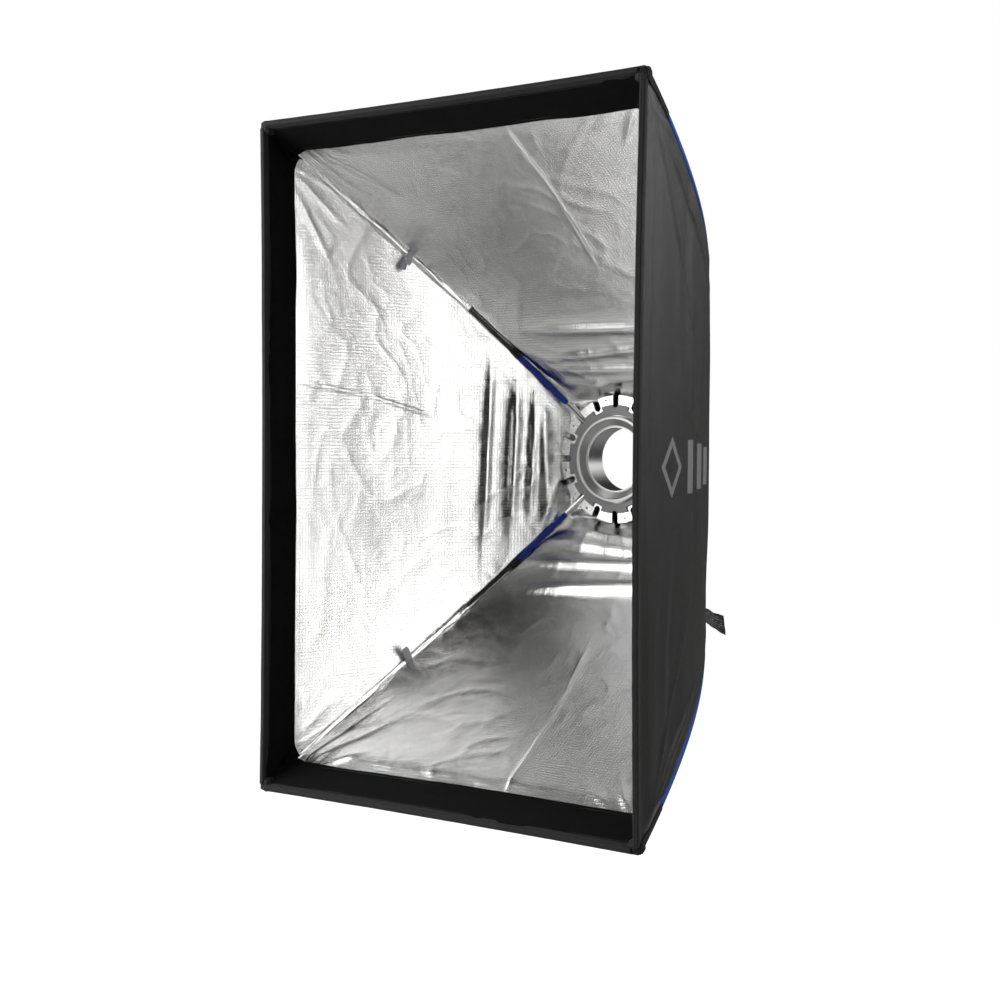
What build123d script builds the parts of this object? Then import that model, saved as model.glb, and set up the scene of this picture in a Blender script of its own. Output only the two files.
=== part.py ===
"""Rectangular softbox on a rotating speedring: four bowed rods, a fabric shell and a bayonet insert.

The row frame has its origin at the centre of the bayonet, on the face that rests against the lamp.
+Y points back into the lamp, the open front faces -Y, and +Z is up. Millimetres.
"""
import os
from math import cos, hypot, radians, sin

from build123d import *

os.makedirs("parts", exist_ok=True)

# ---- Driving dimensions -------------------------------------------------------------------
FRONT_Y = -458.0  # plane of the front edge
REAR_Y = -6.0  # rear edge of the shell, behind the speedring's rim
REAR_HALF = 88.0  # half the square opening behind the speedring
HALF_WIDTH, HALF_HEIGHT = 297.0, 452.0  # front opening, to the outside of the cloth
FACE_CLOTH, LINING, CLOTH = 0.8, 0.5, 1.4  # black face cloth, silver lining, and both with the gap

# Corner seam from the rear opening to the front corner, as Bezier control points (x, y, z).
SEAM = [
    (REAR_HALF, REAR_Y, REAR_HALF),
    (212, -124, 229),
    (232, -143, 271),
    (272, -295, 361),
    (HALF_WIDTH, FRONT_Y, HALF_HEIGHT),
]

# Rod axis from its seat in the speedring to the front corner, as Bezier control points.
ROD = [(53, -22, 53), (229, -79, 235), (253.5, -257, 321.5), (290, -453, 443)]
ROD_RADIUS = 2.3
ROD_END = 0.985  # share of the curve's length where the rod stops, inside its corner pocket

FERRULE_RADIUS, FERRULE_END = 3.9, 0.062
SLEEVE_RADIUS, SLEEVE_START, SLEEVE_END = 3.7, 0.068, 0.235
CHANNEL_RADIUS, CHANNEL_START, CHANNEL_END = 3.8, 0.375, 0.905
CAP_RADIUS, CAP_START = 3.3, 0.962
TUBE_BORE = 2.5  # inside radius of everything that is slid over a rod

# Speedring and bayonet insert
BORE = 46.0  # free light path
NECK, NECK_LENGTH = 48.5, 12.5
LUG, LUG_LENGTH, LUG_ANGLE = 54.5, 4.5, 42.0
FLANGE, FLANGE_THICKNESS = 68.0, 4.5
HUB = 57.2
RING_BORE, RING_RIM = 57.5, 93.5
RING_FRONT, RING_REAR = -26.0, -6.0
SLOTS = 16
SLOT_WIDTH, SLOT_ROOT, SLOT_FLOOR = 9.6, 75.2, -14.5
COVER_INNER, COVER_RIM, COVER_THICKNESS = 64.0, 79.0, 2.6
COLLAR_RIM, COLLAR_FRONT = 63.3, -34.0

# Sewn parts
BAND_DEPTH, BAND_THICKNESS, BAND_CORNER = 52.0, 1.1, 15.0
BINDING = 4.8
POCKET, NUB_PROUD = 14.0, 1.6
TAPE_WIDTH, TAPE_THICKNESS = 9.0, 1.5
FLAP_THICKNESS, FLAP_ARC = 1.2, 71.0
TAB_WIDTH, TAB_LENGTH, TAB_THICKNESS, TAB_PLACE = 12.0, 24.0, 1.1, 0.56
LABEL_LENGTH, LABEL_WIDTH, LABEL_THICKNESS = 31.0, 32.0, 1.0

CORNERS = {"top_left": (-1, 1), "top_right": (1, 1), "bottom_left": (-1, -1), "bottom_right": (1, -1)}
SIDES = {"left": -1, "right": 1}
ENDS = {"top": 1, "bottom": -1}


# ---- Shared geometry ----------------------------------------------------------------------
def keep(piece, label):
    """Label a finished piece and write it."""
    piece.part.label = label
    export_step(piece.part, f"parts/{label}.step")


def corner_points(points, corner):
    """Control points of the top right corner, mirrored into another corner."""
    side, end = CORNERS[corner]
    return [(side * x, y, end * z) for x, y, z in points]


def inset(points, distance):
    """Move a profile's control points towards the inside of the box, square to the profile."""
    moved = []
    last = len(points) - 1
    for i, (across, along) in enumerate(points):
        before, after = points[max(i - 1, 0)], points[min(i + 1, last)]
        run, rise = after[0] - before[0], after[1] - before[1]
        length = hypot(run, rise)
        moved.append((across + distance * rise / length, along - distance * run / length))
    return moved


def profile(distance, upright):
    """The shell's half profile (across, y), seen from above or, if upright, from the side."""
    pick = 2 if upright else 0
    return inset([(point[pick], point[1]) for point in SEAM], distance)


def in_plane(point, upright, sign=1):
    """A profile point as a point of its sketch plane: XY from above, YZ from the side."""
    across, along = point
    return (along, sign * across) if upright else (sign * across, along)


def sketch_plane(upright):
    """The plane that a profile is drawn on."""
    return Plane.YZ if upright else Plane.XY


def cavity(distance, upright):
    """Everything between the two mirrored profiles, inset by a distance, as one long prism."""
    points = profile(distance, upright)
    reach = 6.0
    rear, front = points[0], points[-1]
    behind, ahead = (rear[0], rear[1] + reach), (front[0], front[1] - reach)
    with BuildPart() as prism:
        with BuildSketch(sketch_plane(upright)):
            with BuildLine():
                for sign in (1, -1):
                    Line(in_plane(behind, upright, sign), in_plane(rear, upright, sign))
                    Bezier(*[in_plane(point, upright, sign) for point in points])
                    Line(in_plane(front, upright, sign), in_plane(ahead, upright, sign))
                Line(in_plane(behind, upright, 1), in_plane(behind, upright, -1))
                Line(in_plane(ahead, upright, 1), in_plane(ahead, upright, -1))
            make_face()
        extrude(amount=HALF_HEIGHT + 20, both=True)
    return prism.part


def wall(outer, inner, upright, sign):
    """The strip between two insets of one profile, as a prism as long as the box."""
    near, far = profile(inner, upright), profile(outer, upright)
    with BuildPart() as prism:
        with BuildSketch(sketch_plane(upright)):
            with BuildLine():
                Bezier(*[in_plane(point, upright, sign) for point in near])
                Bezier(*[in_plane(point, upright, sign) for point in far])
                Line(in_plane(near[0], upright, sign), in_plane(far[0], upright, sign))
                Line(in_plane(near[-1], upright, sign), in_plane(far[-1], upright, sign))
            make_face()
        extrude(amount=HALF_HEIGHT + 20, both=True)
    return prism.part


def slab(front, rear, half=HALF_HEIGHT + 20):
    """All the space between two depths."""
    with BuildPart(Plane.XZ.offset(-rear)) as block:
        Box(2 * half, 2 * half, rear - front, align=(Align.CENTER, Align.CENTER, Align.MIN))
    return block.part


def section_plane(edge, share=0.0):
    """A plane square to a curve, with its own x axis pointing at the softbox's axis."""
    origin, along = edge @ share, edge % share
    return Plane(origin=origin, x_dir=(-origin.X, 0, -origin.Z), z_dir=along)


def rod_curve(corner, start, end):
    """A stretch of one rod's axis, between two shares of its length."""
    return Bezier(*corner_points(ROD, corner), mode=Mode.PRIVATE).trim(start, end)


def along_rod(corner, start, end, radius, bore=0.0):
    """A round bar or tube that follows one rod."""
    with BuildPart() as piece:
        with BuildLine() as path:
            add(rod_curve(corner, start, end))
        with BuildSketch(section_plane(path.edge())):
            Circle(radius)
            if bore:
                Circle(bore, mode=Mode.SUBTRACT)
        sweep(path=path.edge())
    return piece


# ---- Bayonet insert: stays on the lamp ----------------------------------------------------
with BuildPart() as mount_insert:
    with BuildSketch(Plane.XY):
        with BuildLine():
            Polyline(
                (BORE, RING_FRONT - 0.5),
                (HUB, RING_FRONT - 0.5),
                (HUB, -FLANGE_THICKNESS),
                (FLANGE, -FLANGE_THICKNESS),
                (FLANGE, 0),
                (NECK, 0),
                (NECK, NECK_LENGTH),
                (BORE, NECK_LENGTH),
                close=True,
            )
        make_face()
    revolve(axis=Axis.Y)
    with BuildSketch(Plane.XZ.offset(-NECK_LENGTH)) as lugs:
        Circle(LUG)
        Circle(NECK - 0.2, mode=Mode.SUBTRACT)
        with PolarLocations(0, 3, start_angle=90 + LUG_ANGLE / 2 + 9):
            with BuildLine(mode=Mode.PRIVATE) as gap:
                Polyline(
                    (0, 0),
                    (2 * LUG, 0),
                    (2 * LUG * cos(radians(120 - LUG_ANGLE)), 2 * LUG * sin(radians(120 - LUG_ANGLE))),
                    close=True,
                )
            add(make_face(gap.edges(), mode=Mode.PRIVATE), mode=Mode.SUBTRACT)
    extrude(amount=LUG_LENGTH)
    lug_edges = mount_insert.edges().filter_by(GeomType.CIRCLE).filter_by(lambda e: e.radius > LUG - 0.1)
    chamfer(lug_edges.filter_by(lambda e: e.arc_center.Y > NECK_LENGTH - 0.1), 0.8)
    flange_rim = mount_insert.edges().filter_by(GeomType.CIRCLE).filter_by(lambda e: e.radius == FLANGE)
    fillet(flange_rim, 0.8)
keep(mount_insert, "mount_insert")

with BuildPart() as front_collar:
    with BuildSketch(Plane.XY):
        with BuildLine():
            Polyline(
                (BORE + 1.5, RING_FRONT - 0.5),
                (COLLAR_RIM, RING_FRONT - 0.5),
                (COLLAR_RIM, COLLAR_FRONT + 1.5),
                (COLLAR_RIM - 1.5, COLLAR_FRONT),
                (COLLAR_RIM - 5, COLLAR_FRONT),
                (COLLAR_RIM - 6, COLLAR_FRONT + 1.2),
                (BORE + 3, RING_FRONT - 1.6),
                (BORE + 1.5, RING_FRONT - 1.6),
                close=True,
            )
        make_face()
    revolve(axis=Axis.Y)
keep(front_collar, "front_collar")

with BuildPart() as wave_washer:
    with BuildSketch(Plane.XZ.offset(-RING_REAR - 1.2)):
        Circle(FLANGE - 1)
        Circle(HUB + 1, mode=Mode.SUBTRACT)
    extrude(amount=0.9)
keep(wave_washer, "wave_washer")

# ---- Speedring ----------------------------------------------------------------------------
ROD_SLOPE = (Vector(*ROD[1]) - Vector(*ROD[0])).normalized()
SLOPE_OUT, SLOPE_FORWARD = hypot(ROD_SLOPE.X, ROD_SLOPE.Z), ROD_SLOPE.Y
SEAT_RADIUS = hypot(ROD[0][0], ROD[0][2])
SEAT_PLUG = 7.0  # how far a ferrule reaches past the rod's end, into its socket

with BuildPart() as speedring:
    with BuildSketch(Plane.XY):
        with BuildLine():
            Polyline(
                (RING_BORE, RING_FRONT),
                (RING_RIM - 1, RING_FRONT),
                (RING_RIM, RING_FRONT + 1),
                (RING_RIM, RING_FRONT + 11),
                (RING_RIM - 9, RING_REAR - 2.5),
                (RING_RIM - 9, RING_REAR),
                (RING_BORE, RING_REAR),
                close=True,
            )
        make_face()
    revolve(axis=Axis.Y)
    with BuildSketch(Plane.XZ.offset(-SLOT_FLOOR)):
        with PolarLocations(0, SLOTS):
            with Locations((SLOT_ROOT + SLOT_WIDTH / 2 + 20, 0)):
                SlotOverall(40 + SLOT_WIDTH, SLOT_WIDTH)
    extrude(amount=20, mode=Mode.SUBTRACT)
    for step in range(SLOTS):
        turn = radians(360 / SLOTS * step)
        seat = (SEAT_RADIUS * cos(turn), ROD[0][1], SEAT_RADIUS * sin(turn))
        slope = (SLOPE_OUT * cos(turn), SLOPE_FORWARD, SLOPE_OUT * sin(turn))
        with Locations(Plane(origin=seat, z_dir=slope)):
            Cylinder(
                FERRULE_RADIUS + 0.15,
                2 * SEAT_PLUG + 1,
                align=(Align.CENTER, Align.CENTER, Align.CENTER),
                mode=Mode.SUBTRACT,
            )
    with Locations(Plane.XZ.offset(-RING_FRONT)):
        with PolarLocations(RING_RIM - 6.5, SLOTS // 2, start_angle=180 / SLOTS):
            Hole(1.5, depth=5)
keep(speedring, "speedring")

with BuildPart() as ring_cover:
    with BuildSketch(Plane.XZ.offset(-RING_FRONT)) as cover_face:
        Circle(COVER_RIM)
        Circle(COVER_INNER, mode=Mode.SUBTRACT)
        with PolarLocations(COVER_RIM, SLOTS // 2, start_angle=360 / SLOTS):
            Rectangle(14, 15, mode=Mode.SUBTRACT)
        with PolarLocations(0, SLOTS):
            with Locations((SLOT_ROOT + SLOT_WIDTH / 2 + 20, 0)):
                SlotOverall(40 + SLOT_WIDTH, SLOT_WIDTH, mode=Mode.SUBTRACT)
    extrude(amount=COVER_THICKNESS)
    front_rim = ring_cover.faces().filter_by(Axis.Y).sort_by(Axis.Y)[0].outer_wire().edges()
    chamfer(front_rim, 0.5)
keep(ring_cover, "ring_cover")

# ---- Rods and what is slid over them ------------------------------------------------------
for corner in CORNERS:
    rod = along_rod(corner, 0, ROD_END, ROD_RADIUS)
    keep(rod, f"rod_{corner}")

    ferrule = along_rod(corner, 0, FERRULE_END, FERRULE_RADIUS, TUBE_BORE)
    seat_plane = section_plane(rod_curve(corner, 0, 1))
    with BuildPart() as ferrule_end:
        add(ferrule.part)
        with BuildSketch(seat_plane):
            Circle(FERRULE_RADIUS)
        extrude(amount=-SEAT_PLUG)
        chamfer(ferrule_end.faces().sort_by(Axis.Y)[-1].edges(), 0.8)
    keep(ferrule_end, f"rod_ferrule_{corner}")

    cap = along_rod(corner, CAP_START, ROD_END, CAP_RADIUS, TUBE_BORE)
    end_plane = section_plane(rod_curve(corner, 0, ROD_END), 1)
    with BuildPart() as tip_cap:
        add(cap.part)
        with BuildSketch(end_plane):
            Circle(CAP_RADIUS)
        extrude(amount=1.5)
    keep(tip_cap, f"rod_tip_cap_{corner}")

    keep(along_rod(corner, SLEEVE_START, SLEEVE_END, SLEEVE_RADIUS, TUBE_BORE), f"rod_sleeve_{corner}")
    keep(along_rod(corner, CHANNEL_START, CHANNEL_END, CHANNEL_RADIUS, TUBE_BORE), f"rod_channel_{corner}")

# ---- Fabric shell -------------------------------------------------------------------------
seen_from_side = cavity(0, upright=True)
faced_from_above = cavity(CLOTH - LINING, upright=False)
faced_from_side = cavity(CLOTH - LINING, upright=True)
lined_from_above = cavity(CLOTH, upright=False)
behind_binding = slab(FRONT_Y + BINDING + 0.1, 0)

for name, sign in SIDES.items():
    with BuildPart() as side_panel:
        add(wall(0, FACE_CLOTH, False, sign))
        add(seen_from_side, mode=Mode.INTERSECT)
        add(behind_binding, mode=Mode.INTERSECT)
    keep(side_panel, f"panel_{name}")

    with BuildPart() as side_lining:
        add(wall(CLOTH - LINING, CLOTH, False, sign))
        add(faced_from_side, mode=Mode.INTERSECT)
        add(behind_binding, mode=Mode.INTERSECT)
    keep(side_lining, f"lining_{name}")

for name, sign in ENDS.items():
    with BuildPart() as end_panel:
        add(wall(0, FACE_CLOTH, True, sign))
        add(faced_from_above, mode=Mode.INTERSECT)
        add(behind_binding, mode=Mode.INTERSECT)
    keep(end_panel, f"panel_{name}")

    with BuildPart() as end_lining:
        add(wall(CLOTH - LINING, CLOTH, True, sign))
        add(lined_from_above, mode=Mode.INTERSECT)
        add(behind_binding, mode=Mode.INTERSECT)
    keep(end_lining, f"lining_{name}")

# ---- Hook-and-loop bands inside the front edge --------------------------------------------
band_slab = slab(FRONT_Y + BINDING + 0.1, FRONT_Y + BAND_DEPTH)
band_gap = CLOTH + 0.1
short_of_sides = cavity(band_gap + BAND_CORNER, upright=False)
short_of_ends = cavity(band_gap + BAND_CORNER, upright=True)

for name, sign in SIDES.items():
    with BuildPart() as side_band:
        add(wall(band_gap, band_gap + BAND_THICKNESS, False, sign))
        add(short_of_ends, mode=Mode.INTERSECT)
        add(band_slab, mode=Mode.INTERSECT)
    keep(side_band, f"front_band_{name}")

for name, sign in ENDS.items():
    with BuildPart() as end_band:
        add(wall(band_gap, band_gap + BAND_THICKNESS, True, sign))
        add(short_of_sides, mode=Mode.INTERSECT)
        add(band_slab, mode=Mode.INTERSECT)
    keep(end_band, f"front_band_{name}")

# ---- Binding round the front edge, and the corner pockets that take the rod ends ------------
for name, sign in SIDES.items():
    with BuildPart() as side_binding:
        with Locations((sign * (HALF_WIDTH - BINDING / 2 + 0.4), FRONT_Y + BINDING / 2, 0)):
            Box(BINDING, BINDING, 2 * (HALF_HEIGHT - POCKET - 0.2))
        fillet(side_binding.edges().filter_by(Axis.Z), BINDING * 0.4)
    keep(side_binding, f"edge_binding_{name}")

for name, sign in ENDS.items():
    with BuildPart() as end_binding:
        with Locations((0, FRONT_Y + BINDING / 2, sign * (HALF_HEIGHT - BINDING / 2 + 0.4))):
            Box(2 * (HALF_WIDTH - POCKET - 0.2), BINDING, BINDING)
        fillet(end_binding.edges().filter_by(Axis.X), BINDING * 0.4)
    keep(end_binding, f"edge_binding_{name}")

pocket_room = slab(FRONT_Y + BINDING - 0.1, FRONT_Y + BAND_DEPTH)
room_from_above = cavity(band_gap, upright=False)
room_from_side = cavity(band_gap, upright=True)

for corner, (side, end) in CORNERS.items():
    rod_bore = along_rod(corner, 0.85, 0.993, CAP_RADIUS + 0.2)
    with BuildPart() as corner_pocket:
        with Locations((side * HALF_WIDTH, FRONT_Y + BAND_DEPTH / 2, end * HALF_HEIGHT)):
            Box(2 * POCKET - 0.4, BAND_DEPTH, 2 * POCKET - 0.4)
        add(room_from_above, mode=Mode.INTERSECT)
        add(room_from_side, mode=Mode.INTERSECT)
        add(pocket_room, mode=Mode.INTERSECT)
        add(rod_bore.part, mode=Mode.SUBTRACT)
        nub_centre = (side * (HALF_WIDTH - POCKET / 2 + 1), end * (HALF_HEIGHT - POCKET / 2 + 1))
        with BuildSketch(Plane.XZ.offset(-FRONT_Y - BINDING)):
            with Locations(nub_centre):
                RectangleRounded(POCKET, POCKET, 3)
        extrude(amount=BINDING + NUB_PROUD)
    keep(corner_pocket, f"corner_pocket_{corner}")

# ---- Blue tape over the corner seams, loop tabs on the rods, and the sewn-in label ----------
TAPE_OFFSET = 1.3
tape_above, tape_side = profile(-TAPE_OFFSET, False), profile(-TAPE_OFFSET, True)
TAPE = [(a[0], (a[1] + b[1]) / 2, b[0]) for a, b in zip(tape_above, tape_side)]

for corner in CORNERS:
    with BuildPart() as seam_tape:
        with BuildLine() as tape_path:
            add(Bezier(*corner_points(TAPE, corner), mode=Mode.PRIVATE).trim(0.02, 0.965))
        with BuildSketch(section_plane(tape_path.edge())):
            Rectangle(TAPE_THICKNESS, TAPE_WIDTH)
        sweep(path=tape_path.edge())
    keep(seam_tape, f"seam_tape_{corner}")

for corner, (side, end) in CORNERS.items():
    rod_axis = rod_curve(corner, 0, 1)
    place, along = rod_axis @ TAB_PLACE, rod_axis % TAB_PLACE
    hang = Vector(-0.30 * side, 0, -1) if end > 0 else Vector(-0.15 * side, -0.75, 0.62)
    across = along.cross(hang).normalized()
    reach = across.cross(along).normalized()
    with BuildPart() as tie_tab:
        with BuildSketch(Plane(origin=place, x_dir=reach, z_dir=along)):
            with Locations((CHANNEL_RADIUS + 0.3 + TAB_LENGTH / 2, 0)):
                RectangleRounded(TAB_LENGTH, 2.2, 0.8)
        extrude(amount=TAB_WIDTH / 2, both=True)
    keep(tie_tab, f"tie_tab_{corner}")

label_seam = Bezier(*corner_points(SEAM, "bottom_right"), mode=Mode.PRIVATE)
LABEL_PLACE = 0.265
label_root, seam_run = label_seam @ LABEL_PLACE, label_seam % LABEL_PLACE
label_out = Vector(0.80, 0.45, -0.40)
with BuildPart() as care_label:
    with BuildSketch(Plane(origin=label_root, x_dir=label_out, z_dir=seam_run)):
        with Locations((LABEL_LENGTH / 2 + 6, 0)):
            Rectangle(LABEL_LENGTH, LABEL_THICKNESS)
    extrude(amount=LABEL_WIDTH / 2, both=True)
keep(care_label, "care_label")

# ---- Rear flaps: close the back of the shell round the insert -------------------------------
FLAP_REAR = REAR_Y + 0.7 + FLAP_THICKNESS
FLAP_EDGE = REAR_HALF - 1.6
MITRE_GAP = 0.3
for step, name in enumerate(("right", "top", "left", "bottom")):
    with BuildPart() as rear_flap:
        with BuildSketch(Plane.XZ.offset(-FLAP_REAR)):
            with PolarLocations(0, 1, start_angle=90 * step):
                with BuildLine(mode=Mode.PRIVATE) as outline:
                    Polyline(
                        (MITRE_GAP, 0),
                        (FLAP_EDGE, FLAP_EDGE - MITRE_GAP),
                        (FLAP_EDGE, MITRE_GAP - FLAP_EDGE),
                        close=True,
                    )
                add(make_face(outline.edges(), mode=Mode.PRIVATE))
            Circle(FLAP_ARC, mode=Mode.SUBTRACT)
        extrude(amount=FLAP_THICKNESS)
    keep(rear_flap, f"rear_flap_{name}")
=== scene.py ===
"""Rectangular softbox: cloth, webbing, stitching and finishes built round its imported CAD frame.

Row frame, in metres: origin at the centre of the bayonet, the open front faces -Y, +Z is up.
"""

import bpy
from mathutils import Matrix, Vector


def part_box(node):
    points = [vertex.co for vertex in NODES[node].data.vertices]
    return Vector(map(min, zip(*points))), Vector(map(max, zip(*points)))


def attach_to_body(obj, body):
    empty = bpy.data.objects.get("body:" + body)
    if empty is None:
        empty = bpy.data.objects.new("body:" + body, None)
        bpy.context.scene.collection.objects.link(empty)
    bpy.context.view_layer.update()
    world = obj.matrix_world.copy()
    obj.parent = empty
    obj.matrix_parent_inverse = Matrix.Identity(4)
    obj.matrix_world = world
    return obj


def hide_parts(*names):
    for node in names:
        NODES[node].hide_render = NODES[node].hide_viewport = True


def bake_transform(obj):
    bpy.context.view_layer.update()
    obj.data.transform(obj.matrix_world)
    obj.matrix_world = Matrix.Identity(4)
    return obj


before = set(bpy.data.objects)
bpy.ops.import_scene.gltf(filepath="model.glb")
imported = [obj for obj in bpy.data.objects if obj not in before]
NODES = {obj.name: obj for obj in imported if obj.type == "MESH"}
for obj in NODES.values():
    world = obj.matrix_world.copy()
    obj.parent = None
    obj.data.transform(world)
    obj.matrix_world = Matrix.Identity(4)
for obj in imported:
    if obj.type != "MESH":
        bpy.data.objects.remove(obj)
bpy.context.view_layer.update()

import math

import bpy
import numpy as np
from mathutils import Matrix, Vector

MM = 0.001

# ---- Sizes and places, from the frame ----
FRONT_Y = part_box("edge_binding_top")[0].y
REAR_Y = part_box("panel_right")[1].y
HALF_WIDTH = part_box("panel_right")[1].x
HALF_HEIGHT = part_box("panel_top")[1].z
REAR_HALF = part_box("rear_flap_right")[1].x + 1.6 * MM
BINDING = 4.8 * MM
BAND_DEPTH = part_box("front_band_left")[1].y - FRONT_Y

LINING_GAP = 2.4 * MM  # lining inside the face cloth, away from the seams
BAND_GAP = 2.2 * MM  # hook-and-loop band inside the lining
SIDE_BOW, END_BOW = 5.0 * MM, 2.5 * MM  # how far the front edges pull in between their corners

CORNERS = {"top_left": (-1, 1), "top_right": (1, 1), "bottom_left": (-1, -1), "bottom_right": (1, -1)}
FACES = {"left": -1, "right": 1, "top": 1, "bottom": -1}
UPRIGHT = ("left", "right")  # faces that run between an upper and a lower seam

# Corner seam and rod axis of the top right corner, as Bezier control points.
SEAM = [
    (REAR_HALF, REAR_Y, REAR_HALF),
    (0.212, -0.124, 0.229),
    (0.232, -0.143, 0.271),
    (0.272, -0.295, 0.361),
    (HALF_WIDTH, FRONT_Y, HALF_HEIGHT),
]
ROD = [(0.053, -0.022, 0.053), (0.229, -0.079, 0.235), (0.2535, -0.257, 0.3215), (0.290, -0.453, 0.443)]
SLEEVE_SPAN, CHANNEL_SPAN, TAB_PLACE = (0.064, 0.238), (0.372, 0.93), 0.56  # shares of the rod
SEAM_LENGTH, ROD_LENGTH = 0.62, 0.65  # near enough for noise and weave along them


# ---- Curves, noise and folds ----
def bezier(points, share):
    """Points of a Bezier curve at an array of shares."""
    share = np.asarray(share, float)[..., None]
    level = [np.asarray(point, float) + 0 * share for point in points]
    while len(level) > 1:
        level = [a + (b - a) * share for a, b in zip(level, level[1:])]
    return level[0]


def bezier_slope(points, share):
    """First derivative of a Bezier curve."""
    points = [np.asarray(point, float) for point in points]
    return bezier([(len(points) - 1) * (b - a) for a, b in zip(points, points[1:])], share)


def run_along(points):
    """Distance from the first point of a line to each of its points."""
    steps = np.linalg.norm(np.diff(points, axis=0), axis=1)
    return np.concatenate([[0], np.cumsum(steps)])


def by_length(points, shares):
    """Curve parameters at shares of a Bezier curve's length."""
    fine = np.linspace(0, 1, 1201)
    length = run_along(bezier(points, fine))
    return np.interp(np.asarray(shares) * length[-1], length, fine)


def pair(first, second):
    """Two arrays spread over one grid and put side by side."""
    return np.stack(np.broadcast_arrays(first, second), -1)


def unit(vectors):
    """Vectors of length one."""
    return vectors / np.maximum(np.linalg.norm(vectors, axis=-1, keepdims=True), 1e-12)


def smooth(low, high, value):
    """0 below low, 1 above high and a smooth step between."""
    x = np.clip((value - low) / (high - low), 0, 1)
    return x * x * (3 - 2 * x)


def noise(x, y, seed):
    """Smooth noise from -1 to 1, with features about one unit across."""
    table = np.random.default_rng(seed).uniform(-1, 1, (97, 97))
    left, low = np.floor(x).astype(int), np.floor(y).astype(int)
    fx, fy = smooth(0, 1, x - left), smooth(0, 1, y - low)

    def knot(i, j):
        return table[(left + i) % 97, (low + j) % 97]

    near = knot(0, 0) * (1 - fx) + knot(1, 0) * fx
    far = knot(0, 1) * (1 - fx) + knot(1, 1) * fx
    return near * (1 - fy) + far * fy


def layered_noise(x, y, seed, octaves=3):
    """Noise with finer and weaker layers added."""
    total = 0
    for i in range(octaves):
        total = total + noise(x * 2.03**i, y * 2.03**i, seed + i) / 2**i
    return total


def creases(x, y, seed, octaves=2):
    """Sharp-edged folds, 0 to 1, that wander as in cloth that has been crushed."""
    total = 0
    for i in range(octaves):
        size, turn = 1.9**i, 0.5 + 0.9 * i
        warp_x = 0.7 * noise(x * size * 0.6 + 40, y * size * 0.6 + 40, seed + 60 + i)
        warp_y = 0.7 * noise(x * size * 0.6 + 70, y * size * 0.6 + 10, seed + 80 + i)
        along = size * (x * math.cos(turn) + y * math.sin(turn)) + warp_x
        aside = size * (y * math.cos(turn) - x * math.sin(turn)) + warp_y
        total = total + (1 - np.abs(noise(along, aside, seed + i)) * 2).clip(0) ** 2 / size
    return total


def fold(x, y, start, end, width, height):
    """One straight fold from start to end, widest in its middle third. x, y, start and end share a unit."""
    (x0, y0), (x1, y1) = start, end
    run = np.hypot(x1 - x0, y1 - y0)
    ux, uy = (x1 - x0) / run, (y1 - y0) / run
    along = (x - x0) * ux + (y - y0) * uy
    off = (x - x0) * uy - (y - y0) * ux
    reach = smooth(-0.12 * run, 0.3 * run, along) * (1 - smooth(0.6 * run, 1.15 * run, along))
    return height * reach / (1 + (off / width) ** 2) ** 1.5


# ---- Meshes ----
def make_mesh(name, points, faces, material, uv=None, smooth_shaded=True):
    """A mesh object from arrays. uv holds one pair, in metres of cloth, for each point."""
    mesh = bpy.data.meshes.new(name)
    mesh.from_pydata(np.asarray(points).reshape(-1, 3).tolist(), [], np.asarray(faces).tolist())
    if uv is not None:
        layer = mesh.uv_layers.new(name="cloth")
        loops = np.zeros(len(mesh.loops), np.int32)
        mesh.loops.foreach_get("vertex_index", loops)
        layer.data.foreach_set("uv", np.asarray(uv, np.float32).reshape(-1, 2)[loops].ravel())
    mesh.polygons.foreach_set("use_smooth", [smooth_shaded] * len(mesh.polygons))
    mesh.materials.append(material)
    piece = bpy.data.objects.new(name, mesh)
    bpy.context.scene.collection.objects.link(piece)
    return piece


def grid_faces(rows, columns, ring=False):
    """Quads of a grid of points, joined round its columns if it is a ring."""
    index = np.arange(rows * columns).reshape(rows, columns)
    if ring:
        index = np.concatenate([index, index[:, :1]], axis=1)
    quads = [index[:-1, :-1], index[1:, :-1], index[1:, 1:], index[:-1, 1:]]
    return np.stack(quads, -1).reshape(-1, 4)


def thicken(piece, thickness, outward):
    """Give a sheet its thickness: all behind its front if outward is -1, half each way if it is 0."""
    solid = piece.modifiers.new("thickness", "SOLIDIFY")
    solid.thickness, solid.offset = thickness, outward


def grid_piece(name, points, material, uv, thickness, outward=0.0, ring=False):
    """A smooth sheet of some thickness from a grid of points."""
    piece = make_mesh(name, points, grid_faces(*points.shape[:2], ring), material, uv)
    thicken(piece, thickness, outward)
    return piece


def attach(piece, slot, *replaced, body="softbox"):
    """Ride on a body and stand for CAD nodes, which it hides; slot is not used."""
    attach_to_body(piece, body)
    if replaced:
        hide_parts(*replaced)
    return piece


def sweep_points(centres, side, up, section):
    """Grid of points of a section (rows x columns x 2) carried along centres with two axes."""
    return (
        centres[:, None, :]
        + section[..., 0:1] * side[:, None, :]
        + section[..., 1:2] * up[:, None, :]
    )


def at_length(at, length, values):
    """Rows of values that are given along a line, at some distances along it."""
    return np.stack([np.interp(at, length, values[:, i]) for i in range(3)], -1)


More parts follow.
